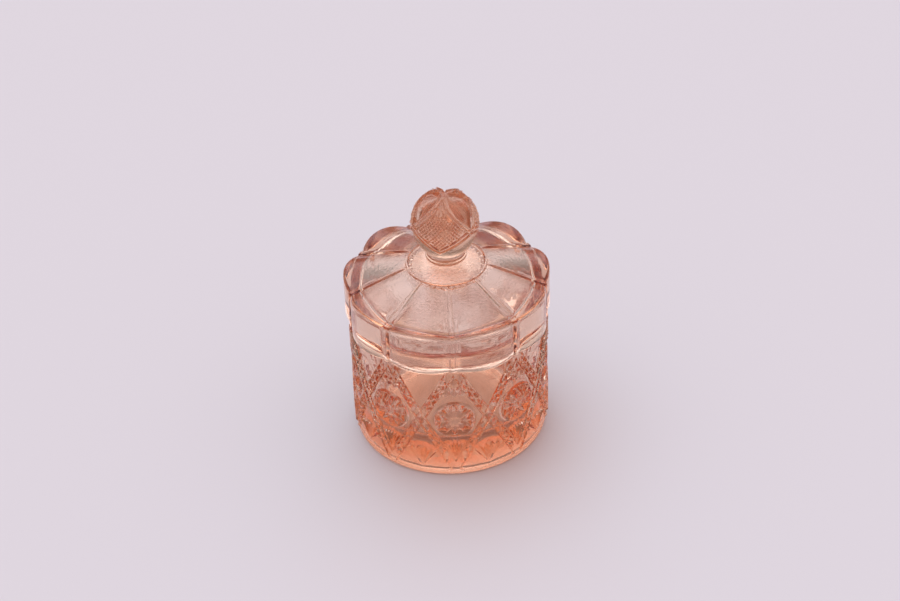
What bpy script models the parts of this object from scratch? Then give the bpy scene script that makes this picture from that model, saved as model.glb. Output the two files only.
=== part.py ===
"""Pressed glass candy dish: a round footed dish and a lobed lid with a ball knob.

Metres, +Z up. The origin is on the dish's axis, in the plane that the foot stands on. A rib of the
lid points along -Y, and every pattern repeats nine times round the axis.
"""

import math

import bmesh
import bpy

MM = 0.001

# Driving dimensions
LOBES = 9  # lobes round the lid, and diamonds round the dish
RIB_END_RADIUS = 48.0 * MM  # axis to the end of a lid rib
SHOULDER_HEIGHT = 64.0 * MM  # foot to the ledge that the lid stands on
OVERALL_HEIGHT = 133.9 * MM  # foot to the top of the knob
SEAT_GAP = 0.3 * MM  # lid to ledge

# Dish, outside
FOOT_INNER_RADIUS = 37.5 * MM
FOOT_OUTER_RADIUS = 44.6 * MM
FOOT_RECESS = 0.8 * MM
BASE_RADIUS = 46.4 * MM
BASE_CORNER = BASE_RADIUS - FOOT_OUTER_RADIUS
PANEL_TOP_RADIUS = 46.8 * MM
DIAMOND_EDGE_RELIEF = 1.5 * MM
DIAMOND_FIELD_RELIEF = 0.7 * MM
DIAMOND_CENTRE_RELIEF = 2.2 * MM
DIAMOND_TIP_HEIGHT = 4.8 * MM
DIAMOND_WAIST_HEIGHT = 35.1 * MM

# Dish, inside, and the collar that centres the lid
COLLAR_OUTER_RADIUS = 40.5 * MM
COLLAR_TOP_HEIGHT = SHOULDER_HEIGHT + 6.7 * MM
COLLAR_EDGE = 1.1 * MM
MOUTH_RADIUS = 37.4 * MM
WELL_RADIUS = 36.5 * MM
FLOOR_HEIGHT = 8.0 * MM
FLOOR_FILLET = 16.0 * MM

# Lid, outside
LOBE_PEAK_RADIUS = 49.8 * MM
NOTCH_RADIUS = 46.6 * MM
NOTCH_RIM_HEIGHT = 83.3 * MM
LOBE_ARCH = 3.6 * MM
RIM_ROUND = 2.6 * MM
RIB_HALF_WIDTH = 1.9 * MM
RIB_RELIEF = 1.1 * MM
RING_RADIUS = 18.75 * MM
RING_TOP_HEIGHT = 94.3 * MM
RING_BEAD = 0.8 * MM

# Lid, inside
LID_BOTTOM_HEIGHT = SHOULDER_HEIGHT + SEAT_GAP
BORE_RADIUS = 41.2 * MM
BORE_DRAFT = 0.4 * MM
BORE_FILLET = 6.0 * MM
LID_THICKNESS = 5.2 * MM

# Knob
KNOB_RADIUS = 16.7 * MM
KNOB_CENTRE_HEIGHT = 115.8 * MM
KNOB_RISE = OVERALL_HEIGHT - KNOB_CENTRE_HEIGHT
KNOB_FOOT_LATITUDE = -50  # degrees below the knob's equator where the neck takes over
NECK_RADIUS = 9.0 * MM
NECK_TOP_HEIGHT = 100.9 * MM
NECK_BEAD_HEIGHT = 98.6 * MM
NECK_BEAD = 1.0 * MM

# Mesh fineness
ROUND_COLUMNS = 4 * LOBES  # columns round a plain turned surface
DISH_COLUMNS_PER_SECTOR = 8  # the diamonds' edges run along this grid's diagonals
ON_EDGE = 1e-6  # share of a diamond within which a point counts as on its edge
FLOOR_FILLET_STEPS = 6
BORE_FILLET_STEPS = 4
KNOB_STEPS = 12
LID_SMOOTH_BELOW = math.radians(32)
DISH_SMOOTH_BELOW = math.radians(8)

SECTOR = 2 * math.pi / LOBES
HALF_SECTOR = SECTOR / 2

GLASS_COLOUR = (0.80, 0.36, 0.25, 1.0)
GLASS_ROUGHNESS = 0.05
GLASS_IOR = 1.52


def clear_scene():
    for thing in list(bpy.data.objects):
        bpy.data.objects.remove(thing, do_unlink=True)


def glass_material(name):
    """Pink pressed glass: a clear tinted Principled surface."""
    material = bpy.data.materials.new(name)
    material.use_nodes = True
    surface = material.node_tree.nodes["Principled BSDF"]
    surface.inputs["Base Color"].default_value = GLASS_COLOUR
    surface.inputs["Roughness"].default_value = GLASS_ROUGHNESS
    surface.inputs["Metallic"].default_value = 0.0
    surface.inputs["IOR"].default_value = GLASS_IOR
    surface.inputs["Transmission Weight"].default_value = 1.0
    return material


def polar(angle, radius, height):
    """A point at an angle counted from -Y towards +X."""
    return (radius * math.sin(angle), -radius * math.cos(angle), height)


def loop(bm, angles, radius_at, height_at):
    """One closed loop of vertices, with its radius and height as functions of the angle."""
    return [bm.verts.new(polar(a, radius_at(a), height_at(a))) for a in angles]


def turned_loop(bm, radius, height):
    """A plain round loop."""
    angles = [2 * math.pi * i / ROUND_COLUMNS for i in range(ROUND_COLUMNS)]
    return loop(bm, angles, lambda a: radius, lambda a: height)


def join_equal(bm, first, second):
    count = len(first)
    for i in range(count):
        j = (i + 1) % count
        bm.faces.new((first[i], first[j], second[j], second[i]))


def join_on_diagonals(bm, first, second, rising_at):
    """Join two equal loops with triangles, each pair split on a rising or a falling diagonal."""
    count = len(first)
    for i in range(count):
        j = (i + 1) % count
        if rising_at(i):
            bm.faces.new((first[i], first[j], second[j]))
            bm.faces.new((first[i], second[j], second[i]))
        else:
            bm.faces.new((first[i], first[j], second[i]))
            bm.faces.new((first[j], second[j], second[i]))


def join_fan(bm, fine, coarse):
    """Join a fine loop to one with a whole fraction of its vertices."""
    ratio = len(fine) // len(coarse)
    for j, corner in enumerate(coarse):
        following = coarse[(j + 1) % len(coarse)]
        chunk = [fine[(j * ratio + i) % len(fine)] for i in range(ratio + 1)]
        middle = ratio // 2
        for i in range(ratio):
            bm.faces.new((chunk[i], chunk[i + 1], corner if i < middle else following))
        bm.faces.new((chunk[middle], following, corner))


def loft(bm, loops):
    """Skin neighbouring loops, one after another."""
    for first, second in zip(loops, loops[1:]):
        if len(first) == len(second):
            join_equal(bm, first, second)
        elif len(first) > len(second):
            join_fan(bm, first, second)
        else:
            join_fan(bm, second, first)


def cap(bm, ring, height):
    """Close a loop with a fan round a vertex on the axis."""
    centre = bm.verts.new((0.0, 0.0, height))
    for i, vertex in enumerate(ring):
        bm.faces.new((vertex, ring[(i + 1) % len(ring)], centre))


def arc(centre, radius, start, end, steps):
    """(r, z) points on a quarter-like arc; angles in degrees from +r towards +z, both ends in."""
    points = []
    for i in range(steps + 1):
        t = math.radians(start + (end - start) * i / steps)
        points.append((centre[0] + radius * math.cos(t), centre[1] + radius * math.sin(t)))
    return points


def finish(bm, name, material, smooth_below):
    """Turn the closed skin into a named, smooth-shaded object."""
    bmesh.ops.recalc_face_normals(bm, faces=bm.faces)
    mesh = bpy.data.meshes.new(name)
    bm.to_mesh(mesh)
    bm.free()
    mesh.shade_smooth()
    mesh.set_sharp_from_angle(angle=smooth_below)
    mesh.materials.append(material)
    thing = bpy.data.objects.new(name, mesh)
    bpy.context.collection.objects.link(thing)
    return thing


def from_rib(angle):
    """Angle to the nearest rib line."""
    return abs((angle + HALF_SECTOR) % SECTOR - HALF_SECTOR)


# ---------------------------------------------------------------- dish


def diamond_grid_rows():
    """Heights of the dish's wall loops: equal steps of the diamond lattice up to the ledge."""
    half = DISH_COLUMNS_PER_SECTOR // 2
    step = (DIAMOND_WAIST_HEIGHT - DIAMOND_TIP_HEIGHT) / half
    rows = [DIAMOND_TIP_HEIGHT + step * i for i in range(2 * half)]
    return rows + [SHOULDER_HEIGHT]


def diamond_depth(angle, height):
    """How far inside a diamond a point lies: 1 at its centre, 0 on its edge, less outside."""
    across = from_rib(angle) / HALF_SECTOR
    rise = DIAMOND_WAIST_HEIGHT - DIAMOND_TIP_HEIGHT
    along = abs(height - DIAMOND_WAIST_HEIGHT) / rise
    return 1.0 - across - along


def dish_wall_radius(angle, height):
    """The tapered wall: plain panels, and crowned diamonds inside raised edges."""
    up = (height - BASE_CORNER) / (SHOULDER_HEIGHT - BASE_CORNER)
    plain = BASE_RADIUS + (PANEL_TOP_RADIUS - BASE_RADIUS) * up
    depth = diamond_depth(angle, height)
    if depth < -ON_EDGE:
        return plain
    if depth < ON_EDGE:
        return plain + DIAMOND_EDGE_RELIEF
    return plain + DIAMOND_FIELD_RELIEF + (DIAMOND_CENTRE_RELIEF - DIAMOND_FIELD_RELIEF) * depth


def dish_angles():
    count = DISH_COLUMNS_PER_SECTOR * LOBES
    return [2 * math.pi * i / count for i in range(count)]


def dish_foot_loops(bm):
    """Underside recess, foot ring and rounded base corner."""
    corner = arc((FOOT_OUTER_RADIUS, BASE_CORNER), BASE_CORNER, -90, 0, 3)
    loops = [turned_loop(bm, FOOT_INNER_RADIUS - FOOT_RECESS, FOOT_RECESS)]
    loops.append(turned_loop(bm, FOOT_INNER_RADIUS, 0.0))
    for radius, height in corner:
        loops.append(loop(bm, dish_angles(), lambda a: radius, lambda a: height))
    return loops


def dish_wall_loops(bm):
    loops = []
    for height in diamond_grid_rows():
        radius_at = lambda a: dish_wall_radius(a, height)
        loops.append(loop(bm, dish_angles(), radius_at, lambda a: height))
    return loops


def join_dish_wall(bm, loops):
    """Skin the wall so that each diamond's edges are edges of the mesh."""
    half = DISH_COLUMNS_PER_SECTOR // 2
    for row, (first, second) in enumerate(zip(loops, loops[1:])):
        low = row < half

        def rising_at(column):
            right_of_rib = column % DISH_COLUMNS_PER_SECTOR < half
            return right_of_rib == low

        join_on_diagonals(bm, first, second, rising_at)


def dish_mouth_loops(bm):
    """Ledge, collar, well and floor, ending round the middle of the floor."""
    loops = [turned_loop(bm, COLLAR_OUTER_RADIUS, SHOULDER_HEIGHT)]
    edge_height = COLLAR_TOP_HEIGHT - COLLAR_EDGE
    outer = arc((COLLAR_OUTER_RADIUS - COLLAR_EDGE, edge_height), COLLAR_EDGE, 0, 90, 3)
    inner = arc((MOUTH_RADIUS + COLLAR_EDGE, edge_height), COLLAR_EDGE, 90, 180, 3)
    fillet_centre = (WELL_RADIUS - FLOOR_FILLET, FLOOR_HEIGHT + FLOOR_FILLET)
    fillet = arc(fillet_centre, FLOOR_FILLET, 0, -90, FLOOR_FILLET_STEPS)
    for radius, height in outer + inner + fillet:
        loops.append(turned_loop(bm, radius, height))
    return loops


def make_dish():
    bm = bmesh.new()
    foot = dish_foot_loops(bm)
    wall = dish_wall_loops(bm)
    mouth = dish_mouth_loops(bm)
    loft(bm, foot + wall[:1])
    join_dish_wall(bm, wall)
    loft(bm, wall[-1:] + mouth)
    cap(bm, foot[0], FOOT_RECESS)
    cap(bm, mouth[-1], FLOOR_HEIGHT)
    return finish(bm, "dish", glass_material("pink_glass_dish"), DISH_SMOOTH_BELOW)


# ---------------------------------------------------------------- lid


def lid_angles():
    """Twelve columns a sector, so that each rib has a flat top and two steep flanks."""
    flank = RIB_HALF_WIDTH / RIB_END_RADIUS
    crest = 0.55 * flank
    panel = [flank + (HALF_SECTOR - flank) * i / 4 for i in range(5)]
    half = [crest] + panel
    offsets = [0.0] + half + [SECTOR - a for a in reversed(half[:-1])]
    return [SECTOR * k + offset for k in range(LOBES) for offset in offsets]


def rib_share(angle):
    """1 on a rib's crest, 0 on a panel."""
    return 1.0 if from_rib(angle) < 0.8 * RIB_HALF_WIDTH / RIB_END_RADIUS else 0.0


def lobe_radius(angle):
    """Each panel's outline is one circular arc from notch to notch through the lobe's peak."""
    cosine = math.cos(HALF_SECTOR)
    gap = LOBE_PEAK_RADIUS - NOTCH_RADIUS * cosine
    centre = (LOBE_PEAK_RADIUS**2 - NOTCH_RADIUS**2) / (2 * gap)
    radius = LOBE_PEAK_RADIUS - centre
    off = HALF_SECTOR - from_rib(angle)
    return centre * math.cos(off) + math.sqrt(radius**2 - (centre * math.sin(off)) ** 2)


def lobe_share(angle):
    """0 in a notch, 1 at a lobe's peak."""
    return (lobe_radius(angle) - NOTCH_RADIUS) / (LOBE_PEAK_RADIUS - NOTCH_RADIUS)


def skirt_radius(angle):
    return max(lobe_radius(angle), RIB_END_RADIUS * rib_share(angle))


def rim_height(angle):
    return NOTCH_RIM_HEIGHT + LOBE_ARCH * lobe_share(angle) + RIB_RELIEF * rib_share(angle)


def lid_skirt_loops(bm):
    """From the lower edge up the lobed skirt and over the rounded rim."""
    angles = lid_angles()
    loops = [loop(bm, angles, skirt_radius, lambda a: LID_BOTTOM_HEIGHT)]
    for degrees in (0, 30, 60, 90):
        inward = RIM_ROUND * (1 - math.cos(math.radians(degrees)))
        below = RIM_ROUND * (1 - math.sin(math.radians(degrees)))
        radius_at = lambda a: skirt_radius(a) - inward
        loops.append(loop(bm, angles, radius_at, lambda a: rim_height(a) - below))
    return loops


def lid_top_loops(bm):
    """The sloping panels and ribs, running in to the foot of the ring bead."""
    angles = lid_angles()
    inner_radius = RING_RADIUS + RING_BEAD
    inner_height = RING_TOP_HEIGHT - RING_BEAD
    loops = []
    for inward in (0.35, 0.7, 1.0):
        def radius_at(a):
            outer = skirt_radius(a) - RIM_ROUND
            return outer + (inner_radius - outer) * inward

        def height_at(a):
            return rim_height(a) + (inner_height - rim_height(a)) * inward

        loops.append(loop(bm, angles, radius_at, height_at))
    return loops


def knob_profile():
    """(r, z) points up the slightly tall ball, from the neck to just short of its pole."""
    points = []
    for i in range(KNOB_STEPS):
        t = math.radians(KNOB_FOOT_LATITUDE + (90 - KNOB_FOOT_LATITUDE) * i / KNOB_STEPS)
        points.append((KNOB_RADIUS * math.cos(t), KNOB_CENTRE_HEIGHT + KNOB_RISE * math.sin(t)))
    return points


def lid_crown_loops(bm):
    """Ring bead, the cone inside it, beaded neck and ball knob, ending round the ball's pole."""
    points = arc((RING_RADIUS, RING_TOP_HEIGHT - RING_BEAD), RING_BEAD, 60, 150, 3)
    points += arc((NECK_RADIUS, NECK_BEAD_HEIGHT), NECK_BEAD, -50, 70, 3)
    points.append((NECK_RADIUS, NECK_TOP_HEIGHT))
    points += knob_profile()
    return [turned_loop(bm, radius, height) for radius, height in points]


def lid_bore_loops(bm):
    """Round bore, fillet and sloping underside, starting at the lower edge."""
    under_slope_end = RING_TOP_HEIGHT - RING_BEAD - LID_THICKNESS
    fillet_top = NOTCH_RIM_HEIGHT - LID_THICKNESS + 2.6 * MM
    bore_top = BORE_RADIUS - BORE_DRAFT
    centre = (bore_top - BORE_FILLET, fillet_top - BORE_FILLET)
    fillet = arc(centre, BORE_FILLET, 0, 72, BORE_FILLET_STEPS)
    loops = [turned_loop(bm, BORE_RADIUS, LID_BOTTOM_HEIGHT)]
    loops += [turned_loop(bm, radius, height) for radius, height in fillet]
    loops.append(turned_loop(bm, RING_RADIUS, under_slope_end))
    return loops


def make_lid():
    bm = bmesh.new()
    outside = lid_skirt_loops(bm) + lid_top_loops(bm) + lid_crown_loops(bm)
    inside = lid_bore_loops(bm)
    loft(bm, outside)
    loft(bm, [outside[0]] + inside)
    cap(bm, outside[-1], OVERALL_HEIGHT)
    cap(bm, inside[-1], RING_TOP_HEIGHT - RING_BEAD - LID_THICKNESS)
    return finish(bm, "lid", glass_material("pink_glass_lid"), LID_SMOOTH_BELOW)


clear_scene()
make_dish()
make_lid()
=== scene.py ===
"""Looks of the pressed glass candy dish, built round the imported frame. Metres, +Z up.

Two pieces: the dish and the lid. Each is one closed skin of real glass thickness. The pressed
pattern is drawn flat, as points and crease lines on a tile, and the tile is wrapped round the
glass with its mirror image, once for each repeat.
"""

import math

import bmesh
import bpy
from mathutils import Matrix, Vector, noise
from mathutils.geometry import delaunay_2d_cdt


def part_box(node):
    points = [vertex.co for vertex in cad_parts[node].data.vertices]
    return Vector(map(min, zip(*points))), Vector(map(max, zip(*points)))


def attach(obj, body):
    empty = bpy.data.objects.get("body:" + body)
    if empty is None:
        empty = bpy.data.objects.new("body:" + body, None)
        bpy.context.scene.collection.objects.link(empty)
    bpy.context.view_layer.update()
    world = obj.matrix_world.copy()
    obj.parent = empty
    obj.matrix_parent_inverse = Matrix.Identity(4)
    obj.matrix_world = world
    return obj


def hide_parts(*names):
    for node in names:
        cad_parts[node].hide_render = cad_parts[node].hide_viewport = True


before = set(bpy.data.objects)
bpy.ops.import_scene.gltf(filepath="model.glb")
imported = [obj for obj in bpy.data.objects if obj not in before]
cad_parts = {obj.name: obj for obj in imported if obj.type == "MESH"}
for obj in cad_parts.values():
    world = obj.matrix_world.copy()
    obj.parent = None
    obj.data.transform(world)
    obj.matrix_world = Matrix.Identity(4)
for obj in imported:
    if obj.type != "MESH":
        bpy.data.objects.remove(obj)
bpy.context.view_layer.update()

DISH_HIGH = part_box("dish")[1]
LID_LOW, LID_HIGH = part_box("lid")

# The design is drawn in millimetres. One of them in the frame's metres:
DESIGN_HEIGHT = 133.9
MM = LID_HIGH.z / DESIGN_HEIGHT

# Round the axis
LOBES = 9
SECTOR = 2 * math.pi / LOBES
HALF_SECTOR = SECTOR / 2
RIB_END = 48.0

# Creases: about how far apart their points are
CREASE_STEP = 1.8
COARSE_STEP = 3.0
UNCUT = 9.0  # longer than any short crease, which then has no points between its ends
SLACK = 1e-6  # a place nearer to a line than this is on it

# Dish wall and its diamond lattice
COLLAR_TOP = DISH_HIGH.z / MM
LID_BOTTOM = LID_LOW.z / MM
SEAT_GAP = 0.3
LEDGE = LID_BOTTOM - SEAT_GAP
LEDGE_CORNER = 0.7
BASE_RADIUS = 46.4
WALL_TOP_RADIUS = 46.8
PATTERN_FOOT = 3.0
PATTERN_LOW = 4.6
PATTERN_HIGH = 62.3
PATTERN_HEAD = LEDGE - LEDGE_CORNER
HALF_TILE = RIB_END * HALF_SECTOR  # tile width: half a sector's arc at the rib ends' radius
WAIST = 35.1  # height of the diamonds' side corners
HALF_DIAMOND = 30.3  # from a diamond's waist to its tip, between edge centre lines
TILE_COLUMNS = 8
FILL_STEP = 2.2
FILL_CLEARANCE = 0.9
HEAD_SHARE = 0.3  # share of the relief that is left under the ledge

# Edge bands of the diamonds: distances across the band and heights over the plain wall
BAND_FOOT = 2.5
BAND_CREST = 2.0
BAND_CHANNEL = 1.5
CREST_RELIEF = 1.2
CHANNEL_RELIEF = 0.1
FIELD_RELIEF = 0.2
ZIGZAG_RELIEF = 1.2
ZIGZAG_STEP = 2.5
ZIGZAG_CREASE_STEP = 1.4
ZIGZAG_MARGIN = 5.5  # plain length at each end of a band
ZIGZAG_PIT = -0.9
ZIGZAG_PIT_PLACE = 0.4  # distance from the band's centre line, as a share of BAND_CHANNEL

# Medallion in each diamond
MEDALLION_FOOT = 10.9
MEDALLION_CREST = 10.0
MEDALLION_INNER = 9.0
MEDALLION_RELIEF = 0.95
MEDALLION_ARC = 9  # degrees between the points of its circles
STAR_POINTS = 12
STAR_TIP = MEDALLION_INNER - 0.2
STAR_PIT_RADIUS = 7.4
STAR_PIT = -1.0
STAR_NOTCH = 4.9
STAR_BUTTON = 2.5
BUTTON_HIGH = 0.9
BUTTON_LOW = 0.7
BUTTON_CENTRE = 0.3

# Hobnails: rhombic points over the diamond's upper field and beside the medallion
HOBNAIL_CELLS = 8
HOBNAIL_GAP = 0.3  # between them and the medallion
HOBNAIL_LOWEST = WAIST - 3.0
HOBNAIL_TALL_FROM = WAIST + 6.0
HOBNAIL_TALL = 1.5
HOBNAIL_SHORT = 1.0

# Fans: one in each diamond's lower tip and one between the diamonds above the foot
FAN_FLUTES = 3
FAN_RIDGE = 1.2
FAN_VALLEY = -1.1
FAN_RIDGE_START = (1.6, 0.3)  # distance from the root, and height
FAN_VALLEY_START = (3.0, 0.0)
FAN_VALLEY_OVERRUN = 0.4
FAN_SCALLOP = (2.0, 0.7)  # distance past the ridges' ends, and height
TIP_FAN_LENGTH = 10.0
FOOT_FAN_LENGTH = 11.0
FOOT_FAN_SPREAD = 48.0
FOOT_FAN_LIFT = 0.6

# Dish inside and underside
COLLAR_RADIUS = 40.5
COLLAR_ROUND = 1.1
COLLAR_FILLET = 0.4
MOUTH_RADIUS = 37.4
WELL_RADIUS = 36.5
FLOOR = 8.0
FLOOR_FILLET = 16.0
WELL_WAVE = 14.0  # size and depth of the well's unevenness
WELL_UNEVEN = 0.12
GROOVE = ((0.45, 2.6), (0.1, 2.2))  # round the foot of the wall: depth and height
FOOT_OUTER = 44.6
FOOT_ROUND = BASE_RADIUS - FOOT_OUTER
FOOT_INNER = 37.5
FOOT_RECESS = 0.8
RECESS_LOOPS = (30.0, 16.0, 2.5)
GROUND_RADIUS = 37.3  # inside this radius the underside is ground, not fire polished

# Lid
LOBE_PEAK = 49.7
NOTCH = 46.6
NOTCH_RIM = 83.3
LOBE_ARCH = 3.6
RIM_ROUND = 1.8
RIB_HALF_WIDTH = 2.3
RIB_FLAT = 0.3  # share of the half width that is the rib's gently crowned top
RIB_CROWN = 0.12  # share of the relief by which that top is crowned
RIB_RELIEF = 1.1
RIB_SIDE_COLUMNS = 5
PANEL_COLUMNS = 7
SKIRT_EDGE = 0.5
SKIRT_BEVEL = 0.12
SKIRT_WAVE = 9.0
SKIRT_UNEVEN = 0.06
RIM_STEP = 15  # degrees between the loops of the rounded rim
TOP_LOOPS = 14
TOP_WAVE = 7.0
TOP_UNEVEN = 0.10
RING_RADIUS = 18.75
RING_TOP = 94.3
RING_BEAD = 0.8
BORE_RADIUS = 41.2
BORE_DRAFT = 0.4
BORE_FILLET = 2.5
BORE_EDGE = 0.3
BORE_RISE = 2.6  # the bore's top over a point one LID_THICKNESS under a notch's rim
UNDERSIDE_SLOPE = 0.12  # rise for each millimetre inwards, inside the ring
LID_THICKNESS = 5.8
BEADS = 36
BEAD_ROW = 16.0  # radius of the row of beads under the lid
BEAD_HALF = 1.1
BEAD_RELIEF = 0.8

# Knob
KNOB_RADIUS = 15.6
KNOB_CENTRE = 115.8
KNOB_RISE = 17.1  # half height of the slightly tall ball
NECK_RADIUS = 9.0
NECK_TOP = 101.2
NECK_FOOT = 97.9
NECK_BEAD = 0.7
NECK_BEAD_ROUND = 1.0
NECK_FLARE = 0.3
KNOB_SECTORS = 3
KNOB_TURN = -13.0  # degrees round to the middle of the front diamond
KNOB_LOW = -48.0  # latitude where the ball runs in to the neck
KNOB_HIGH = 84.0  # latitude where the pattern ends round the pole
KNOB_NODE = 7.0  # latitude of the diamonds' side corners
KNOB_TIP = -20.0  # latitude of the diamonds' lower tips
PETAL_HALF_WIDTH = 23.0
PETAL_SCOOP = 1.9
SCOOP_START = 0.5  # half widths in degrees where the scoop starts and where it is full depth
SCOOP_FULL = 8.0
SCOOP_ROUND = 1.3  # exponent of its section
PETAL_START = KNOB_NODE - 5.0  # latitude where the petals' edge bands start
KNOB_HALF = 180.0 / KNOB_SECTORS
KNOB_CREST = 1.05
KNOB_CHANNEL = 0.15  # height left in the bands' channel, as a share of the crest
KNOB_BAND = (5.6, 3.6, 0.7)  # foot, crest and channel, in degrees of arc from the centre line
LOWER_BULGE = 3.5  # degrees by which the diamond's lower edges bow up from straight
LOWER_SLANT = 0.9  # distance across a lower edge, as a share of that in latitude
STIPPLE_TOP = 42.0  # latitude of the arched top of the stippled field
STIPPLE_ARCH = 0.012  # drop of that top, per square degree of longitude
STIPPLE_PITCH = 7.0
STIPPLE_HALF = 0.46 * STIPPLE_PITCH
STIPPLE_MARGIN = 7.5  # degrees between the stipple and the edges' centre lines
STIPPLE_HEIGHT = 0.8
STIPPLE_UNEVEN = 0.6
FLUTE_WAIST = (60.0, 0.85)  # latitude, and longitude as a share of the foot's
FLUTE_END = (76.0, 0.7)
FLUTE_FOOT_GAP = 4.0  # degrees over the stipple's arch
FLUTE_FOOT_ARCH = 0.02
FLUTE_FOOT_SHARE = 0.6  # height at the foot, as a share of that at the waist
FLUTES = ((0.0, 0.9), (5.5, -0.6), (11.0, 0.8), (16.0, -0.5))  # longitude and height
POLE_COLUMNS = 6
KNOB_STEP = 4.0  # degrees between points
KNOB_CLEARANCE = 2.0
POLE_CROWN = 0.2

# Glass
GLASS_IOR = 1.52
GLASS_DENSITY = 34.0  # absorption per metre where the depth colour is black
GLASS_DEPTH_COLOUR = (0.87, 0.41, 0.07)
GLASS_TINT_CLEAR = (1.0, 0.99, 0.985)
GLASS_TINT_WARM = (0.99, 0.965, 0.95)
GLASS_SHADOW = (0.97, 0.955, 0.95)
GROUND_ROUGHNESS = 0.4
GROUND_BELOW = (0.0030, 0.0026)  # metres; the ground finish fades in from the first to the second
GROUND_FADE = 0.0004  # metres, across the ground finish's outer edge
GROUND_FOOT = (0.0006, 0.0003)  # metres; the foot ring's face is ground too
WORN_POINTINESS = (0.56, 0.75)
WORN_ROUGHNESS = 0.22
HAZE_NOISE = (0.4, 0.7)
HAZE_ROUGHNESS = 0.04
RIPPLE_SCALE = 900.0
BROAD_SCALE = 110.0
MARK_DEPTH = 0.0004  # metres
ROUND_STRETCH = 0.012  # metres of marks for each radian round the axis
CHILL_ON_WALLS = 0.05  # strength of the chill marks
CHILL_ON_TOP = 0.4
CALM_HEIGHTS = (0.0865, 0.0885)  # metres; the chill marks grow from the first to the second

FLOOR_HALF = 4.0  # metres
FLOOR_DROP = 0.0002
FLOOR_ROUGHNESS = 0.9
FLOOR_COLOUR = (0.70, 0.655, 0.69)
BACKDROP_COLOUR = (0.73, 0.66, 0.72)

# Light. The sky: brightness against the sine of the elevation.
SKY_STOPS = ((0.0, 0.23), (0.12, 0.27), (0.35, 0.59), (0.75, 0.76), (1.0, 0.95))
SKY_TINT = (1.0, 0.955, 0.985)
BOX_TINT = (0.965, 0.965, 1.02)
FRONT_LIGHT = 0.55  # brightness of the sky behind the camera, as a share of the rest
FRONT_EDGE = (-0.8, 0.1)  # direction's Y, from fully dimmed to not dimmed
# Soft boxes: azimuth from the back towards +X, elevation, half width and fade in degrees, light
SOFT_BOXES = (
    (0.0, 42.0, 18.0, 14.0, 1.4),
    (-60.0, 70.0, 8.0, 24.0, 1.8),
)

# Camera: distance and aim in rib-end radii, angles in degrees
CAMERA_LENS = 106.5
CAMERA_DISTANCE = 26.567
CAMERA_ELEVATION = 37.44
CAMERA_TURN = -1.61
CAMERA_ROLL = -2.02
CAMERA_AIM = (0.0227, 1.4642)


# ------------------------------------------------------------ flat tiles


class Tile:
    """A flat rectangle of pattern: points with heights, joined by crease lines."""

    def __init__(self, width, low, high, relief):
        self.width, self.low, self.high = width, low, high
        self.relief = relief
        self.points, self.fixed, self.edges = [], [], []

    def inside(self, x, y):
        across = -SLACK <= x <= self.width + SLACK
        return across and self.low - SLACK <= y <= self.high + SLACK

    def point(self, x, y, height=None):
        """Add a point; one that is on the mirror line but for rounding is put right on it."""
        self.points.append(Vector((0.0 if abs(x) < SLACK else x, y)))
        self.fixed.append(height)
        return len(self.points) - 1

    def clip(self, start, end):
        """The part of a segment that lies on the tile, as two shares of its length."""
        first, last = 0.0, 1.0
        bounds = ((0, 0.0, self.width), (1, self.low, self.high))
        for axis, low, high in bounds:
            reach = end[axis] - start[axis]
            if abs(reach) < SLACK:
                if not low - SLACK <= start[axis] <= high + SLACK:
                    return None
                continue
            a, b = sorted(((low - start[axis]) / reach, (high - start[axis]) / reach))
            first, last = max(first, a), min(last, b)
        return (first, last) if last - first > SLACK else None

    def line(self, start, end, step=CREASE_STEP):
        """A crease between two (x, y) or (x, y, height) ends, cut to the tile."""
        span = self.clip(start, end)
        if span is None:
            return
        fixed = len(start) == 3
        length = math.dist(start[:2], end[:2]) * (span[1] - span[0])
        pieces = max(1, round(length / step))
        previous = None
        for i in range(pieces + 1):
            t = span[0] + (span[1] - span[0]) * i / pieces
            at = [a + (b - a) * t for a, b in zip(start, end)]
            current = self.point(at[0], at[1], at[2] if fixed else None)
            if previous is not None:
                self.edges.append((previous, current))
            previous = current

    def path(self, corners, step=CREASE_STEP):
        for start, end in zip(corners, corners[1:]):
            self.line(start, end, step)

    def border(self, y, columns, height=None):
        """The points of a straight border that the next loop of the skin shares."""
        for i in range(columns + 1):
            self.point(self.width * i / columns, y, height)

    def fill(self, step_x, step_y, clearance):
        """Plain points wherever nothing else is near."""
        taken = list(self.points)
        rows = max(1, round((self.high - self.low) / step_y))
        columns = max(1, round(self.width / step_x))
        for j in range(1, rows):
            for i in range(columns + 1):
                x = self.width * i / columns
                y = self.low + (self.high - self.low) * j / rows
                spot = Vector((x, y))
                if all((spot - p).length > clearance for p in taken):
                    self.point(x, y)

    def triangles(self):
        """Corner list [(x, y, height)] and triangle list of the finished tile."""
        made = delaunay_2d_cdt(self.points, self.edges, [], 0, 1e-5, True)
        places, faces, sources = made[0], made[2], made[3]
        corners = []
        for place, source in zip(places, sources):
            known = [self.fixed[i] for i in source if self.fixed[i] is not None]
            height = known[0] if known else self.relief(place.x, place.y)
            corners.append((place.x, place.y, height))
        return corners, faces


def wrap(bm, tile, repeats, place):
    """Lay a tile and its mirror image round the axis, `repeats` times."""
    corners, faces = tile.triangles()
    sector = 2 * math.pi / repeats
    for k in range(repeats):
        for side in (1, -1):
            verts = []
            for x, y, height in corners:
                angle = k * sector + side * x / tile.width * sector / 2
                verts.append(bm.verts.new(place(angle, y, height)))
            for face in faces:
                bm.faces.new([verts[i] for i in face])


# ------------------------------------------------------------ turned skins


def polar(angle, radius, height):
    """Millimetres round the axis to a point in metres; the angle runs from -Y towards +X."""
    return Vector((radius * math.sin(angle), -radius * math.cos(angle), height)) * MM


def even_angles(columns):
    return [2 * math.pi * i / columns for i in range(columns)]


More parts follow.
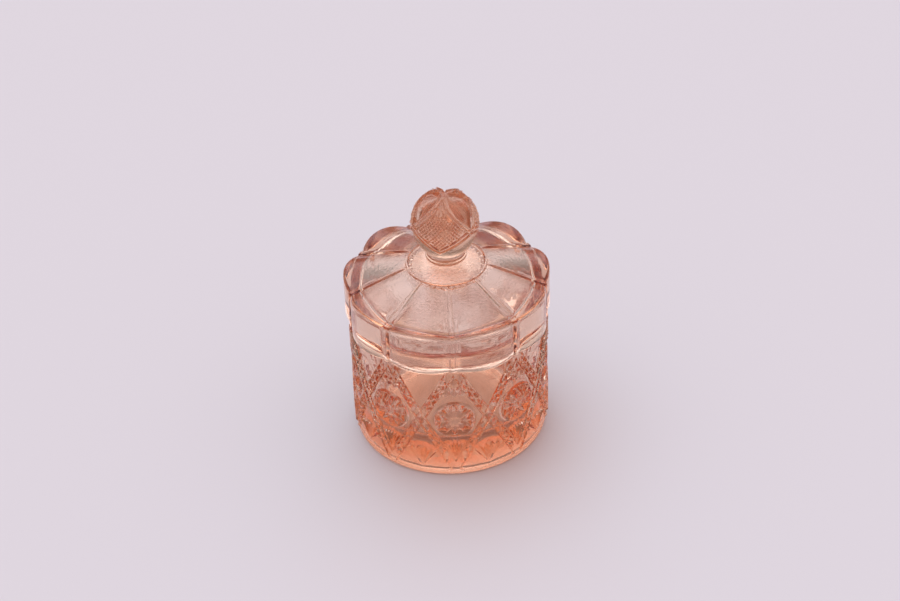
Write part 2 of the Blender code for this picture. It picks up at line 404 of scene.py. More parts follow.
def ring(bm, angles, profile):
    """One loop of vertices; profile(angle) gives its radius and height."""
    return [bm.verts.new(polar(a, *profile(a))) for a in angles]


def skin(bm, loops):
    for first, second in zip(loops, loops[1:]):
        count = len(first)
        for i in range(count):
            j = (i + 1) % count
            bm.faces.new((first[i], first[j], second[j], second[i]))


def cap(bm, loop, height):
    centre = bm.verts.new((0.0, 0.0, height * MM))
    for i, vertex in enumerate(loop):
        bm.faces.new((vertex, loop[(i + 1) % len(loop)], centre))


def arc(centre, radius, start, end, steps):
    """(r, z) points on an arc; degrees from +r towards +z, both ends in."""
    points = []
    for i in range(steps + 1):
        t = math.radians(start + (end - start) * i / steps)
        points.append((centre[0] + radius * math.cos(t), centre[1] + radius * math.sin(t)))
    return points


def run(start, end, steps):
    """(r, z) points along a straight stretch, the first one left out."""
    shares = [(i + 1) / steps for i in range(steps)]
    return [(start[0] + (end[0] - start[0]) * t, start[1] + (end[1] - start[1]) * t) for t in shares]


def turned(points):
    """Profiles of plain turned loops."""
    return [lambda a, point=point: point for point in points]


def wobble(angle, height, size, amount):
    """Slight unevenness of pressed glass: smooth noise over the surface."""
    spot = Vector((RIB_END * math.cos(angle), RIB_END * math.sin(angle), height)) / size
    return noise.noise(spot) * amount


def close_up(bm, name, sharp_above):
    """Weld the skin, turn it outwards and make the shaded object."""
    bmesh.ops.remove_doubles(bm, verts=bm.verts, dist=0.004 * MM)
    bmesh.ops.recalc_face_normals(bm, faces=bm.faces)
    mesh = bpy.data.meshes.new(name)
    bm.to_mesh(mesh)
    bm.free()
    mesh.shade_smooth()
    mesh.set_sharp_from_angle(angle=math.radians(sharp_above))
    thing = bpy.data.objects.new(name, mesh)
    bpy.context.collection.objects.link(thing)
    return thing


def from_rib(angle):
    """Angle to the nearest rib line."""
    return abs((angle + HALF_SECTOR) % SECTOR - HALF_SECTOR)


# ------------------------------------------------------------ dish pattern


def lattice(x, y):
    """Tile place to lattice coordinates: a diamond is |p| < 1 and |q| < 1."""
    up, across = (y - WAIST) / HALF_DIAMOND, x / HALF_TILE
    return up + across, up - across


def lattice_place(p, q):
    return (p - q) / 2 * HALF_TILE, WAIST + (p + q) / 2 * HALF_DIAMOND


EDGE_LENGTH = math.hypot(HALF_TILE, HALF_DIAMOND)
# Distance between lattice lines one unit apart, and the share of it that half a band takes
LATTICE_UNIT = HALF_TILE * HALF_DIAMOND / EDGE_LENGTH
BAND_SHARE = BAND_FOOT / LATTICE_UNIT


def band_relief(distance):
    """Height across one edge band, or None off the band."""
    off = abs(distance)
    if off >= BAND_FOOT:
        return None
    if off >= BAND_CREST:
        return CREST_RELIEF * (BAND_FOOT - off) / (BAND_FOOT - BAND_CREST)
    if off >= BAND_CHANNEL:
        share = (off - BAND_CHANNEL) / (BAND_CREST - BAND_CHANNEL)
        return CHANNEL_RELIEF + (CREST_RELIEF - CHANNEL_RELIEF) * share
    return CHANNEL_RELIEF


def end_fade(y):
    """The relief dies away above the foot and under the ledge."""
    low = (y - PATTERN_FOOT) / (PATTERN_LOW - PATTERN_FOOT)
    high = (PATTERN_HEAD - y) / (PATTERN_HEAD - PATTERN_HIGH)
    return max(0.0, min(1.0, low, HEAD_SHARE + (1 - HEAD_SHARE) * high))


def dish_relief(x, y):
    """Wall relief away from the fixed points: plain panels, field and edge bands."""
    p, q = lattice(x, y)
    inside = abs(p) < 1 and abs(q) < 1
    heights = [FIELD_RELIEF if inside else 0.0]
    for line in (p - 1, q + 1, p + 1, q - 1):
        height = band_relief(line * LATTICE_UNIT)
        if height is not None:
            heights.append(height)
    return max(heights) * end_fade(y)


def band_place(along, across, upper):
    """Place on an edge band: along it from the waist corner, and across it, outwards positive."""
    x = HALF_TILE - along * HALF_TILE / EDGE_LENGTH + across * HALF_DIAMOND / EDGE_LENGTH
    rise = along * HALF_DIAMOND / EDGE_LENGTH + across * HALF_TILE / EDGE_LENGTH
    return x, WAIST + (rise if upper else -rise)


def draw_band(tile, upper):
    """Two crests with a zigzag between them, and a pit in each of the zigzag's triangles."""
    overrun = 6.0
    for across in (BAND_FOOT, BAND_CREST, BAND_CHANNEL):
        for side in (1, -1):
            start = band_place(-overrun, side * across, upper)
            end = band_place(EDGE_LENGTH + overrun, side * across, upper)
            tile.line(start, end)
    count = int((EDGE_LENGTH - 2 * ZIGZAG_MARGIN) / ZIGZAG_STEP)
    first = (EDGE_LENGTH - count * ZIGZAG_STEP) / 2
    corners = []
    for j in range(count + 1):
        side = 1 if j % 2 else -1
        x, y = band_place(first + j * ZIGZAG_STEP, side * BAND_CHANNEL, upper)
        corners.append((x, y, ZIGZAG_RELIEF))
        if 0 < j < count:
            out = -side * BAND_CHANNEL * ZIGZAG_PIT_PLACE
            pit = band_place(first + j * ZIGZAG_STEP, out, upper)
            if PATTERN_LOW < pit[1] < PATTERN_HIGH:
                tile.point(*pit, ZIGZAG_PIT)
    corners = [c for c in corners if PATTERN_LOW < c[1] < PATTERN_HIGH]
    tile.path(corners, ZIGZAG_CREASE_STEP)


def around(radius, degrees, height=None):
    """Place about the medallion's centre, the angle counted from straight up."""
    t = math.radians(degrees)
    flat = (radius * math.sin(t), WAIST + radius * math.cos(t))
    return flat if height is None else (*flat, height)


def draw_medallion(tile):
    """A raised ring round a star with pits between its points."""
    circles = (
        (MEDALLION_FOOT, FIELD_RELIEF),
        (MEDALLION_CREST, MEDALLION_RELIEF),
        (MEDALLION_INNER, CHANNEL_RELIEF),
    )
    for radius, height in circles:
        circle = [around(radius, a, height) for a in range(0, 181, MEDALLION_ARC)]
        tile.path(circle, COARSE_STEP)
    point = 360 / STAR_POINTS
    for k in range(STAR_POINTS // 2 + 1):
        tip = around(STAR_TIP, k * point, MEDALLION_RELIEF)
        tile.line(around(STAR_BUTTON, k * point, BUTTON_HIGH), tip, COARSE_STEP)
    for k in range(STAR_POINTS // 2):
        middle = (k + 0.5) * point
        notch = around(STAR_NOTCH, middle, 0.0)
        for side in (-0.5, 0.5):
            tip = around(STAR_TIP, middle + side * point, MEDALLION_RELIEF)
            tile.line(notch, tip, UNCUT)
        tile.line(around(STAR_BUTTON, middle, BUTTON_LOW), notch, UNCUT)
        tile.point(*around(STAR_PIT_RADIUS, middle), STAR_PIT)
    button = []
    for k in range(STAR_POINTS + 1):
        height = BUTTON_LOW if k % 2 else BUTTON_HIGH
        button.append(around(STAR_BUTTON, k * point / 2, height))
    tile.path(button, UNCUT)
    tile.point(*around(0, 0), BUTTON_CENTRE)


def draw_hobnails(tile):
    """Rhombic points over the diamond's upper field and beside the medallion."""
    low = 1 - BAND_SHARE
    size = 2 * low / HOBNAIL_CELLS
    for i in range(HOBNAIL_CELLS):
        for j in range(i, HOBNAIL_CELLS):
            p0, q0 = low - i * size, low - j * size
            centre = lattice_place(p0 - size / 2, q0 - size / 2)
            corners = [(p0, q0), (p0, q0 - size), (p0 - size, q0 - size), (p0 - size, q0)]
            places = [lattice_place(*c) for c in corners]
            clear = MEDALLION_FOOT + HOBNAIL_GAP
            if any(math.dist(c, (0, WAIST)) <= clear for c in places):
                continue
            if centre[1] < HOBNAIL_LOWEST or max(c[1] for c in places) > PATTERN_HIGH:
                continue
            top = HOBNAIL_TALL if centre[1] > HOBNAIL_TALL_FROM else HOBNAIL_SHORT
            for start, end in zip(places, places[1:] + places[:1]):
                tile.line((*start, FIELD_RELIEF), (*end, FIELD_RELIEF), UNCUT)
            if tile.inside(*centre):
                tile.point(*centre, top)


def draw_fan(tile, root, side, spread, length):
    """Flutes fanning up from a root on the tile's edge, with scalloped heads."""

    def ray(share, radius, height):
        t = math.radians(spread * share)
        return root[0] + side * radius * math.sin(t), root[1] + radius * math.cos(t), height

    for k in range(FAN_FLUTES):
        here, middle, there = k / FAN_FLUTES, (k + 0.5) / FAN_FLUTES, (k + 1) / FAN_FLUTES
        ridge_end = ray(here, length, FAN_RIDGE)
        valley_end = ray(middle, length + FAN_VALLEY_OVERRUN, FAN_VALLEY)
        tile.line(ray(here, *FAN_RIDGE_START), ridge_end, COARSE_STEP)
        tile.line(ray(middle, *FAN_VALLEY_START), valley_end, COARSE_STEP)
        past, height = FAN_SCALLOP
        head = [ridge_end, ray(middle, length + past, height)]
        if k < FAN_FLUTES - 1 or side < 0:
            head.append(ray(there, length, FAN_RIDGE))
        tile.path(head, UNCUT)


def dish_tile():
    tile = Tile(HALF_TILE, PATTERN_FOOT, PATTERN_HEAD, dish_relief)
    tile.border(PATTERN_FOOT, TILE_COLUMNS)
    tile.border(PATTERN_HEAD, TILE_COLUMNS)
    tile.low, tile.high = PATTERN_LOW, PATTERN_HIGH
    tile.line((0, PATTERN_LOW), (HALF_TILE, PATTERN_LOW))
    tile.line((0, PATTERN_HIGH), (HALF_TILE, PATTERN_HIGH))
    draw_medallion(tile)
    draw_hobnails(tile)
    tip = lattice_place(-1 + BAND_SHARE, -1 + BAND_SHARE)
    tip_spread = math.degrees(math.atan2(HALF_TILE, HALF_DIAMOND))
    draw_fan(tile, tip, 1, tip_spread, TIP_FAN_LENGTH)
    foot = (HALF_TILE, PATTERN_LOW + FOOT_FAN_LIFT)
    draw_fan(tile, foot, -1, FOOT_FAN_SPREAD, FOOT_FAN_LENGTH)
    draw_band(tile, True)
    draw_band(tile, False)
    corner = lattice_place(1, -1)
    tile.point(*corner, ZIGZAG_PIT)
    tile.fill(HALF_TILE / TILE_COLUMNS, FILL_STEP, FILL_CLEARANCE)
    return tile


def wall_radius(height):
    share = (height - PATTERN_FOOT) / (PATTERN_HEAD - PATTERN_FOOT)
    return BASE_RADIUS + (WALL_TOP_RADIUS - BASE_RADIUS) * share


def wall_place(angle, height, relief):
    return polar(angle, wall_radius(height) + relief, height)


# ------------------------------------------------------------ dish


def dish_low_profiles():
    """From the pattern's foot down over the groove and foot ring to the underside's middle."""
    groove = [(BASE_RADIUS - depth, height) for depth, height in GROOVE]
    corner = arc((FOOT_OUTER, FOOT_ROUND), FOOT_ROUND, 0, -90, 5)
    foot = [(FOOT_INNER + 0.3, 0.0), (FOOT_INNER - 0.6, FOOT_RECESS)]
    recess = [(radius, FOOT_RECESS) for radius in RECESS_LOOPS]
    return turned(groove + corner + foot + recess)


def dish_high_profiles():
    """From the pattern's head over the ledge, collar and wall to the middle of the floor."""
    points = [(WALL_TOP_RADIUS + 0.1, LEDGE - 0.25), (WALL_TOP_RADIUS - 0.5, LEDGE)]
    points += run(points[-1], (COLLAR_RADIUS + COLLAR_FILLET, LEDGE), 2)
    edge = COLLAR_TOP - COLLAR_ROUND
    points.append((COLLAR_RADIUS, LEDGE + COLLAR_FILLET))
    points += arc((COLLAR_RADIUS - COLLAR_ROUND, edge), COLLAR_ROUND, 0, 90, 5)
    points += arc((MOUTH_RADIUS + COLLAR_ROUND, edge), COLLAR_ROUND, 90, 180, 5)
    well = len(points) - 3  # the unevenness starts half way round the mouth's inner edge
    fillet_top = FLOOR + FLOOR_FILLET
    points += run(points[-1], (WELL_RADIUS, fillet_top), 12)
    points += arc((WELL_RADIUS - FLOOR_FILLET, fillet_top), FLOOR_FILLET, 0, -90, 14)[1:]
    points += run(points[-1], (2.0, FLOOR), 4)

    def uneven(point):
        radius, height = point
        return lambda a: (radius + wobble(a, height, WELL_WAVE, WELL_UNEVEN), height)

    return turned(points[:well]) + [uneven(point) for point in points[well:]]


def make_dish():
    bm = bmesh.new()
    wrap(bm, dish_tile(), LOBES, wall_place)
    angles = even_angles(2 * LOBES * TILE_COLUMNS)

    def border_relief(angle, height):
        return dish_relief(from_rib(angle) / HALF_SECTOR * HALF_TILE, height)

    def border(height):
        return lambda a: (wall_radius(height) + border_relief(a, height), height)

    low = [ring(bm, angles, f) for f in [border(PATTERN_FOOT)] + dish_low_profiles()]
    high = [ring(bm, angles, f) for f in [border(PATTERN_HEAD)] + dish_high_profiles()]
    skin(bm, low)
    skin(bm, high)
    cap(bm, low[-1], FOOT_RECESS)
    cap(bm, high[-1], FLOOR)
    return close_up(bm, "dish_glass", 20)


# ------------------------------------------------------------ lid


def lid_angles():
    """Columns bunched at each rib, then even over the panel."""
    columns = RIB_SIDE_COLUMNS
    side = [RIB_FLAT + (1 - RIB_FLAT) * (i + 1) / columns for i in range(columns)]
    half = [RIB_HALF_WIDTH / RIB_END * share for share in [0.0, RIB_FLAT / 2, RIB_FLAT] + side]
    last = half[-1]
    half += [last + (HALF_SECTOR - last) * (i + 1) / PANEL_COLUMNS for i in range(PANEL_COLUMNS)]
    offsets = half + [SECTOR - a for a in reversed(half[1:-1])]
    return [SECTOR * k + offset for k in range(LOBES) for offset in offsets]


def rib_share(angle):
    """A rib's section: a gently crowned top between two steep sides, 0 on the panels."""
    off = from_rib(angle) * RIB_END / RIB_HALF_WIDTH
    if off <= RIB_FLAT:
        return 1 - RIB_CROWN * (off / RIB_FLAT) ** 2
    side = min(1.0, (off - RIB_FLAT) / (1 - RIB_FLAT))
    return (1 - RIB_CROWN) * (1 - side * side * (3 - 2 * side))


def lobe_radius(angle):
    """Each panel's outline is one circular arc from notch to notch through the lobe's peak."""
    gap = LOBE_PEAK - NOTCH * math.cos(HALF_SECTOR)
    centre = (LOBE_PEAK**2 - NOTCH**2) / (2 * gap)
    radius = LOBE_PEAK - centre
    off = HALF_SECTOR - from_rib(angle)
    return centre * math.cos(off) + math.sqrt(radius**2 - (centre * math.sin(off)) ** 2)


def lobe_share(angle):
    return (lobe_radius(angle) - NOTCH) / (LOBE_PEAK - NOTCH)


def skirt_radius(angle):
    plain = lobe_radius(angle)
    return plain + max(0.0, RIB_END - plain) * rib_share(angle)


def rim_height(angle):
    return NOTCH_RIM + LOBE_ARCH * lobe_share(angle) + RIB_RELIEF * rib_share(angle)


def lid_skirt_profiles():
    """From the lower edge up the lobed skirt and over the rounded rim."""
    profiles = [lambda a: (skirt_radius(a) - SKIRT_EDGE, LID_BOTTOM)]
    profiles.append(lambda a: (skirt_radius(a) - SKIRT_BEVEL, LID_BOTTOM + SKIRT_BEVEL))
    profiles.append(lambda a: (skirt_radius(a), LID_BOTTOM + SKIRT_EDGE))
    for share in (0.2, 0.4, 0.6, 0.8):
        def wall(a, t=share):
            height = LID_BOTTOM + (rim_height(a) - RIM_ROUND - LID_BOTTOM) * t
            return skirt_radius(a) + wobble(a, height, SKIRT_WAVE, SKIRT_UNEVEN), height

        profiles.append(wall)
    for degrees in range(0, 91, RIM_STEP):
        inward = RIM_ROUND * (1 - math.cos(math.radians(degrees)))
        below = RIM_ROUND * (1 - math.sin(math.radians(degrees)))
        profiles.append(lambda a, i=inward, b=below: (skirt_radius(a) - i, rim_height(a) - b))
    return profiles


def lid_top_profiles():
    """The sloping panels and ribs, running in to the foot of the ring bead."""
    inner_radius = RING_RADIUS + RING_BEAD
    inner_height = RING_TOP - RING_BEAD
    profiles = []
    for i in range(1, TOP_LOOPS + 1):
        def slope(a, t=i / TOP_LOOPS):
            outer = skirt_radius(a) - RIM_ROUND
            radius = outer + (inner_radius - outer) * t
            height = rim_height(a) + (inner_height - rim_height(a)) * t
            rib = RIB_RELIEF * rib_share(a) * (t - t**12)
            uneven = wobble(a, radius * 1.3, TOP_WAVE, TOP_UNEVEN) * (1 - t)
            return radius, height + rib + uneven

        profiles.append(slope)
    return profiles


def lid_crown_profiles():
    """Ring bead, the cone inside it and the beaded neck up to the knob."""
    points = arc((RING_RADIUS, RING_TOP - RING_BEAD), RING_BEAD, 30, 160, 6)
    bead = arc((NECK_RADIUS - 0.1, NECK_FOOT + NECK_BEAD), NECK_BEAD_ROUND, -50, 70, 5)
    points += run(points[-1], (bead[0][0] + 1.0, bead[0][1] - 0.2), 5)
    points += bead
    points.append((NECK_RADIUS, NECK_TOP - 3 * NECK_FLARE))
    points.append((NECK_RADIUS + NECK_FLARE, NECK_TOP - NECK_FLARE))
    points += run(points[-1], ball_place(KNOB_LOW), 4)[:-1]
    return turned(points)


def bead_row(angle, radius):
    """A ring of small beads pressed in the lid's underside."""
    across = (radius - BEAD_ROW) / BEAD_HALF
    along = math.sin(BEADS * angle / 2)
    return BEAD_RELIEF * math.sqrt(max(0.0, 1 - across * across)) * abs(along)


def lid_bore_profiles():
    """Round bore, fillet and underside with its row of beads, from the lower edge inwards."""
    points = [(BORE_RADIUS + BORE_EDGE, LID_BOTTOM), (BORE_RADIUS, LID_BOTTOM + BORE_EDGE)]
    top = NOTCH_RIM - LID_THICKNESS + BORE_RISE
    bore = BORE_RADIUS - BORE_DRAFT
    points += run(points[-1], (bore, top - BORE_FILLET), 6)
    points += arc((bore - BORE_FILLET, top - BORE_FILLET), BORE_FILLET, 0, 72, 10)[1:]
    points += run(points[-1], (RING_RADIUS, RING_TOP - RING_BEAD - LID_THICKNESS), 10)
    height = points[-1][1]
    inner = [BEAD_ROW + BEAD_HALF * share for share in (1.0, 0.8, 0.4, 0.0, -0.4, -0.8, -1.0)]
    points += [(radius, height + (RING_RADIUS - radius) * UNDERSIDE_SLOPE) for radius in inner]
    points += run(points[-1], (1.5, height + 2.0), 5)
    return [lambda a, p=p: (p[0], p[1] - bead_row(a, p[0])) for p in points]


def ball_place(latitude, relief=0.0):
    t = math.radians(latitude)
    return (KNOB_RADIUS + relief) * math.cos(t), KNOB_CENTRE + (KNOB_RISE + relief) * math.sin(t)


def knob_place(angle, latitude, relief):
    return polar(angle + math.radians(KNOB_TURN), *ball_place(latitude, relief))


# ------------------------------------------------------------ knob pattern


def petal_half(latitude):
    """Half width of a petal in degrees of arc: petals taper from the side corner to the pole."""
    share = (latitude - KNOB_NODE) / (90 - KNOB_NODE)
    return PETAL_HALF_WIDTH * math.sin(math.pi * max(0.0, share))


def petal_edge(latitude, offset=0.0):
    """Longitude of a petal's edge band, or of a line beside it."""
    return KNOB_HALF - (petal_half(latitude) + offset) / math.cos(math.radians(latitude))


def lower_edge(longitude, offset=0.0):
    """Latitude of the diamond's lower edge band, or of a line beside it."""
    share = longitude / KNOB_HALF
    bulge = LOWER_BULGE * math.sin(math.pi * share)
    return KNOB_TIP + (KNOB_NODE - KNOB_TIP) * share + bulge + offset


def knob_band(off):
    """Height across one edge band of the knob."""
    foot, crest, channel = KNOB_BAND
    off = abs(off)
    if off >= foot:
        return 0.0
    if off >= crest:
        return KNOB_CREST * (foot - off) / (foot - crest)
    share = max(0.0, off - channel) / (crest - channel)
    return KNOB_CREST * (KNOB_CHANNEL + (1 - KNOB_CHANNEL) * share)


def scoop(longitude, latitude):
    """A petal is a shallow thumb cut between its two edge bands."""
    room = petal_half(latitude) - KNOB_BAND[0]
    if latitude <= KNOB_NODE or room <= SCOOP_START:
        return 0.0
    across = (KNOB_HALF - longitude) * math.cos(math.radians(latitude)) / room
    depth = PETAL_SCOOP * min(1.0, room / SCOOP_FULL)
    return -depth * max(0.0, 1 - abs(across) ** SCOOP_ROUND)


def knob_relief(longitude, latitude):
    width = math.cos(math.radians(latitude))
    heights = [0.0]
    if latitude > PETAL_START:
        heights.append(knob_band((longitude - petal_edge(latitude)) * width))
    heights.append(knob_band((latitude - lower_edge(longitude)) * LOWER_SLANT))
    top = max(heights)
    return top if top > 0 else scoop(longitude, latitude)


def draw_knob_bands(tile):
    latitudes = [PETAL_START + i * (KNOB_HIGH - PETAL_START) / 24 for i in range(25)]
    longitudes = [i * KNOB_HALF / 8 for i in range(9)]
    for off in (side * width for width in KNOB_BAND for side in (1, -1)):
        tile.path([(petal_edge(lat, off), lat) for lat in latitudes], KNOB_STEP)
        tile.path([(lon, lower_edge(lon, off / LOWER_SLANT)) for lon in longitudes], KNOB_STEP)


def draw_stipple(tile):
    """Small square points over the diamond's lower field, under an arched top."""
    row_step = STIPPLE_PITCH / 2
    for j in range(int(KNOB_TIP / row_step), int(STIPPLE_TOP / row_step)):
        latitude = (j + 0.5) * row_step
        for i in range(11):
            longitude = (i + 0.5 * (j % 2)) * STIPPLE_PITCH
            unevenness = STIPPLE_UNEVEN * noise.noise(Vector((longitude, latitude, 0)))
            inner = KNOB_HALF
            if latitude > PETAL_START:
                inner = petal_edge(latitude, STIPPLE_MARGIN)
            arch = STIPPLE_TOP - STIPPLE_ARCH * longitude**2
            lowest = lower_edge(longitude, STIPPLE_MARGIN)
            if longitude > inner or not lowest < latitude < arch:
                continue
            corners = ((1, 0), (0, 1), (-1, 0), (0, -1))
            half = STIPPLE_HALF
            spots = [(longitude + a * half, latitude + b * half, 0.0) for a, b in corners]
            for start, end in zip(spots, spots[1:] + spots[:1]):
                tile.line(start, end, UNCUT)
            tile.point(longitude, latitude, STIPPLE_HEIGHT + unevenness)


def draw_knob_flutes(tile):
    """Ridges fanning down from the pole to the stippled field."""
    for foot, height in FLUTES:
        latitude = STIPPLE_TOP + FLUTE_FOOT_GAP - FLUTE_FOOT_ARCH * foot**2
        low = (foot, latitude, height * FLUTE_FOOT_SHARE)
        waist = (foot * FLUTE_WAIST[1], FLUTE_WAIST[0], height)
        end = (foot * FLUTE_END[1], FLUTE_END[0], 0.0)
        tile.path((low, waist, end), KNOB_STEP)


def knob_tile():
    tile = Tile(KNOB_HALF, KNOB_LOW, KNOB_HIGH, knob_relief)
    tile.border(KNOB_LOW, len(lid_angles()) // (2 * KNOB_SECTORS), 0.0)
    tile.border(KNOB_HIGH, POLE_COLUMNS, 0.0)
    tile.low, tile.high = KNOB_LOW + 3, KNOB_HIGH - 1
    draw_stipple(tile)
    draw_knob_flutes(tile)
    draw_knob_bands(tile)
    tile.fill(KNOB_STEP, KNOB_STEP, KNOB_CLEARANCE)
    return tile


def make_lid():
    bm = bmesh.new()
    angles = lid_angles()
    outer = lid_skirt_profiles() + lid_top_profiles() + lid_crown_profiles()
    outside = [ring(bm, angles, f) for f in outer]
    inside = [ring(bm, angles, f) for f in lid_bore_profiles()]
    skin(bm, outside)
    skin(bm, [outside[0]] + inside)
    cap(bm, inside[-1], inside[-1][0].co.z / MM)
    turn = math.radians(KNOB_TURN)
    round_neck = [a + turn for a in even_angles(len(angles))]
    neck = ring(bm, round_neck, lambda a: ball_place(KNOB_LOW))
    nearest = min(range(len(angles)), key=lambda i: (neck[i].co.xy - outside[-1][0].co.xy).length)
    skin(bm, [outside[-1], neck[nearest:] + neck[:nearest]])
    wrap(bm, knob_tile(), KNOB_SECTORS, knob_place)
    round_pole = [a + turn for a in even_angles(2 * POLE_COLUMNS * KNOB_SECTORS)]
    pole = ring(bm, round_pole, lambda a: ball_place(KNOB_HIGH))
    cap(bm, pole, KNOB_CENTRE + KNOB_RISE + POLE_CROWN)
    return close_up(bm, "lid_glass", 24)


# ------------------------------------------------------------ materials


def new_material(name):
    material = bpy.data.materials.new(name)
    material.use_nodes = True
    nodes, links = material.node_tree.nodes, material.node_tree.links
    return material, nodes, links, nodes["Principled BSDF"], nodes["Material Output"]


def link_noise(nodes, links, vector, scale, detail):
    noise_node = nodes.new("ShaderNodeTexNoise")
    noise_node.inputs["Scale"].default_value = scale
    noise_node.inputs["Detail"].default_value = detail
    links.new(vector, noise_node.inputs["Vector"])
    return noise_node.outputs["Fac"]


def link_range(nodes, links, value, start, end):
    """Map a value from one (low, high) pair to another."""
    node = nodes.new("ShaderNodeMapRange")
    node.inputs["From Min"].default_value, node.inputs["From Max"].default_value = start
    node.inputs["To Min"].default_value, node.inputs["To Max"].default_value = end
    links.new(value, node.inputs["Value"])
    return node.outputs["Result"]


def link_math(nodes, links, operation, first, second=None):
    node = nodes.new("ShaderNodeMath")
    node.operation = operation
    for socket, value in zip(node.inputs, (first, second)):
        if isinstance(value, (int, float)):
            socket.default_value = value
        elif value is not None:
            links.new(value, socket)
    return node.outputs[0]


def turned_coordinates(nodes, links):
    """Coordinates that run out, round and up, so that marks follow the turned shape."""
    place = nodes.new("ShaderNodeTexCoord")
    split = nodes.new("ShaderNodeSeparateXYZ")
    links.new(place.outputs["Object"], split.inputs["Vector"])
    x, y, z = split.outputs
    squares = [link_math(nodes, links, "MULTIPLY", v, v) for v in (x, y)]
    radius = link_math(nodes, links, "SQRT", link_math(nodes, links, "ADD", *squares))
    angle = link_math(nodes, links, "ARCTAN2", x, y)
    round_it = link_math(nodes, links, "MULTIPLY", angle, ROUND_STRETCH)
    joined = nodes.new("ShaderNodeCombineXYZ")
    for socket, value in zip(joined.inputs, (radius, round_it, z)):
        links.new(value, socket)
    return place.outputs["Object"], joined.outputs["Vector"], radius, z


def pressed_glass(name, ground_radius):
    """Clear glass, pink by its depth, with chill marks, worn ridges and a ground underside."""
    material, nodes, links, surface, output = new_material(name)
    surface.inputs["Transmission Weight"].default_value = 1.0
    surface.inputs["IOR"].default_value = GLASS_IOR
    plain, round_it, radius, height = turned_coordinates(nodes, links)

    ripple = link_noise(nodes, links, round_it, RIPPLE_SCALE, 3.0)
    broad = link_noise(nodes, links, plain, BROAD_SCALE, 2.0)
    bump = nodes.new("ShaderNodeBump")
    chill = link_range(nodes, links, height, CALM_HEIGHTS, (CHILL_ON_WALLS, CHILL_ON_TOP))
    links.new(chill, bump.inputs["Strength"])
    bump.inputs["Distance"].default_value = MARK_DEPTH
    links.new(link_math(nodes, links, "ADD", ripple, broad), bump.inputs["Height"])
    links.new(bump.outputs["Normal"], surface.inputs["Normal"])

    shape = nodes.new("ShaderNodeNewGeometry")
    pointed = shape.outputs["Pointiness"]
    worn = link_range(nodes, links, pointed, WORN_POINTINESS, (0.0, WORN_ROUGHNESS))
    hazy = link_range(nodes, links, broad, HAZE_NOISE, (0.0, HAZE_ROUGHNESS))
    rough = link_math(nodes, links, "ADD", worn, hazy)
    under = link_range(nodes, links, height, GROUND_BELOW, (0.0, 1.0))
    ground_edge = (ground_radius, ground_radius - GROUND_FADE)
    inside = link_range(nodes, links, radius, ground_edge, (0.0, 1.0))
    foot = link_range(nodes, links, height, GROUND_FOOT, (0.0, 1.0))
    ground = link_math(nodes, links, "MULTIPLY", under, inside)
    ground = link_math(nodes, links, "MAXIMUM", ground, foot)
    ground = link_math(nodes, links, "MULTIPLY", ground, GROUND_ROUGHNESS)
    links.new(link_math(nodes, links, "ADD", rough, ground), surface.inputs["Roughness"])

    tint = nodes.new("ShaderNodeMix")
    tint.data_type = "RGBA"
    tint.inputs["A"].default_value = (*GLASS_TINT_CLEAR, 1)
    tint.inputs["B"].default_value = (*GLASS_TINT_WARM, 1)
    links.new(broad, tint.inputs["Factor"])
    links.new(tint.outputs["Result"], surface.inputs["Base Color"])

    path = nodes.new("ShaderNodeLightPath")
    clear = nodes.new("ShaderNodeBsdfTransparent")
    clear.inputs["Color"].default_value = (*GLASS_SHADOW, 1)
    mix = nodes.new("ShaderNodeMixShader")
    links.new(path.outputs["Is Shadow Ray"], mix.inputs["Fac"])
    links.new(surface.outputs["BSDF"], mix.inputs[1])
    links.new(clear.outputs["BSDF"], mix.inputs[2])
    links.new(mix.outputs["Shader"], output.inputs["Surface"])

    depth = nodes.new("ShaderNodeVolumeAbsorption")
    depth.inputs["Color"].default_value = (*GLASS_DEPTH_COLOUR, 1)
    depth.inputs["Density"].default_value = GLASS_DENSITY
    links.new(depth.outputs["Volume"], output.inputs["Volume"])
    return material


def floor_material():
    material, _, _, surface, _ = new_material("studio_floor")
    surface.inputs["Base Color"].default_value = (*FLOOR_COLOUR, 1)
    surface.inputs["Roughness"].default_value = FLOOR_ROUGHNESS
    surface.inputs["Specular IOR Level"].default_value = 0.0
    return material


# ------------------------------------------------------------ stage


def make_floor():
    bm = bmesh.new()
    bmesh.ops.create_grid(bm, x_segments=1, y_segments=1, size=FLOOR_HALF)
    mesh = bpy.data.meshes.new("floor")
    bm.to_mesh(mesh)
    bm.free()
    mesh.materials.append(floor_material())
    floor = bpy.data.objects.new("floor", mesh)
    floor.location.z = -FLOOR_DROP
    bpy.context.collection.objects.link(floor)


def sky_brightness(nodes, links, direction):
    """The even part of the light: dim at the horizon and behind the camera, bright overhead."""
    split = nodes.new("ShaderNodeSeparateXYZ")
    links.new(direction, split.inputs["Vector"])
    ramp = nodes.new("ShaderNodeValToRGB")
    stops = ramp.color_ramp.elements
    stops[0].position, stops[1].position = SKY_STOPS[0][0], SKY_STOPS[-1][0]
    for position, _ in SKY_STOPS[1:-1]:
        stops.new(position)
    for stop, (_, level) in zip(stops, SKY_STOPS):
        stop.color = (level, level, level, 1)
    links.new(split.outputs["Z"], ramp.inputs["Fac"])
    dimmed = link_range(nodes, links, split.outputs["Y"], FRONT_EDGE, (FRONT_LIGHT, 1.0))
    return link_math(nodes, links, "MULTIPLY", ramp.outputs["Color"], dimmed)


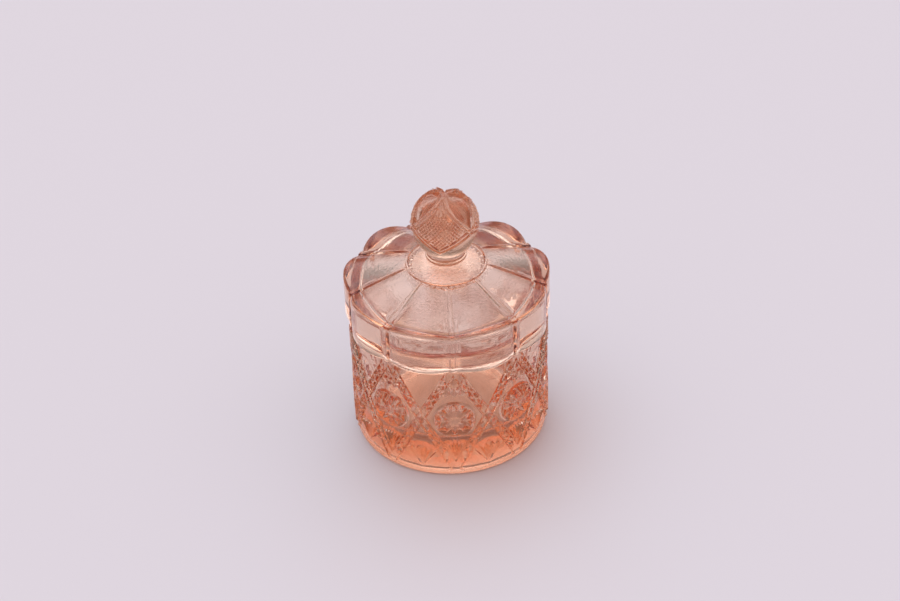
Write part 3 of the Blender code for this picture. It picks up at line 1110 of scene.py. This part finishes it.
def soft_box(nodes, links, direction, azimuth, elevation, half_width, fade, light):
    """A round patch of light with a soft edge."""
    turn, rise = math.radians(azimuth), math.radians(elevation)
    aim = (math.cos(rise) * math.sin(turn), math.cos(rise) * math.cos(turn), math.sin(rise))
    dot = nodes.new("ShaderNodeVectorMath")
    dot.operation = "DOT_PRODUCT"
    links.new(direction, dot.inputs[0])
    dot.inputs[1].default_value = aim
    edge = (math.cos(math.radians(half_width + fade)), math.cos(math.radians(half_width)))
    return link_range(nodes, links, dot.outputs["Value"], edge, (0.0, light))


def tinted(nodes, links, light, tint):
    """A brightness turned into a colour."""
    node = nodes.new("ShaderNodeVectorMath")
    node.operation = "SCALE"
    node.inputs[0].default_value = tint
    links.new(light, node.inputs["Scale"])
    return node.outputs["Vector"]


def make_world():
    """A soft sky with two brighter patches; seen straight on, it is a backdrop like the floor."""
    world = bpy.data.worlds.new("studio")
    world.use_nodes = True
    nodes, links = world.node_tree.nodes, world.node_tree.links
    direction = nodes.new("ShaderNodeTexCoord").outputs["Generated"]
    boxes = [soft_box(nodes, links, direction, *box) for box in SOFT_BOXES]
    colours = [tinted(nodes, links, sky_brightness(nodes, links, direction), SKY_TINT)]
    colours += [tinted(nodes, links, box, BOX_TINT) for box in boxes]
    total = colours[0]
    for colour in colours[1:]:
        add = nodes.new("ShaderNodeVectorMath")
        links.new(total, add.inputs[0])
        links.new(colour, add.inputs[1])
        total = add.outputs["Vector"]
    seen = nodes.new("ShaderNodeMix")
    seen.data_type = "RGBA"
    links.new(nodes.new("ShaderNodeLightPath").outputs["Is Camera Ray"], seen.inputs["Factor"])
    links.new(total, seen.inputs["A"])
    seen.inputs["B"].default_value = (*BACKDROP_COLOUR, 1)
    links.new(seen.outputs["Result"], nodes["Background"].inputs["Color"])
    bpy.context.scene.world = world


def make_camera():
    turn = Matrix.Rotation(math.radians(CAMERA_TURN), 3, "Z")
    rise = math.radians(CAMERA_ELEVATION)
    roll = math.radians(CAMERA_ROLL)
    unit = RIB_END * MM
    back = turn @ Vector((0, -math.cos(rise), math.sin(rise)))
    right = turn @ Vector((1, 0, 0))
    up = back.cross(right)
    side = right * math.cos(roll) + up * math.sin(roll)
    top = up * math.cos(roll) - right * math.sin(roll)
    aim = turn @ Vector((CAMERA_AIM[0], 0, CAMERA_AIM[1])) * unit
    data = bpy.data.cameras.new("camera")
    data.lens = CAMERA_LENS
    data.clip_end = 20.0
    camera = bpy.data.objects.new("camera", data)
    axes = Matrix((side, top, back)).transposed()
    camera.matrix_world = Matrix.Translation(aim + back * CAMERA_DISTANCE * unit) @ axes.to_4x4()
    bpy.context.collection.objects.link(camera)
    bpy.context.scene.camera = camera


def set_light_paths():
    cycles = bpy.context.scene.cycles
    cycles.max_bounces = 32
    cycles.transmission_bounces = 28
    cycles.glossy_bounces = 12
    cycles.diffuse_bounces = 4
    cycles.caustics_reflective = False
    cycles.caustics_refractive = False
    bpy.context.scene.view_settings.view_transform = "Standard"


# ------------------------------------------------------------ build


dish = make_dish()
dish.data.materials.append(pressed_glass("dish_pink_glass", GROUND_RADIUS * MM))
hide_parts("dish")
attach(dish, "dish_body")

lid = make_lid()
lid.data.materials.append(pressed_glass("lid_pink_glass", 0.0))
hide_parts("lid")
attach(lid, "lid_body")

make_floor()
make_world()
make_camera()
set_light_paths()
